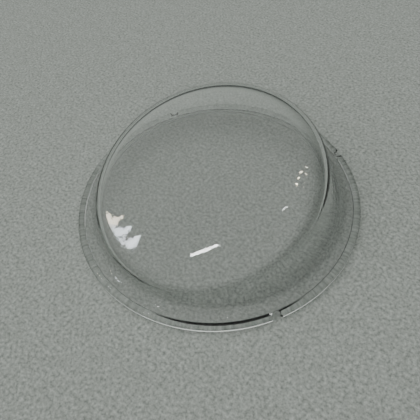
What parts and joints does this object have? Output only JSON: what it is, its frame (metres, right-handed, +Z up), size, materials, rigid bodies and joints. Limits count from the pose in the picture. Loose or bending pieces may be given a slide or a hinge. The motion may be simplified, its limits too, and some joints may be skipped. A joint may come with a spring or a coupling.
{
  "type": "washing machine door glass",
  "caption": "Flanged clear glass bowl with a slanted domed face and a notched round rim, resting mouth down.",
  "frame": {"origin": "centre of the rim's circle, in the plane of the rim's flat seat", "axes": "+Z up through the dome, square to the rim; +Y towards the deep side of the slanted bowl"},
  "size_m": [0.33, 0.33, 0.0918],
  "materials": {
    "clear_glass": "clear fire-polished pressed glass with a faint green-grey tint"
  },
  "bodies": {
    "root": {"door_glass": "clear_glass"}
  },
  "joints": []
}
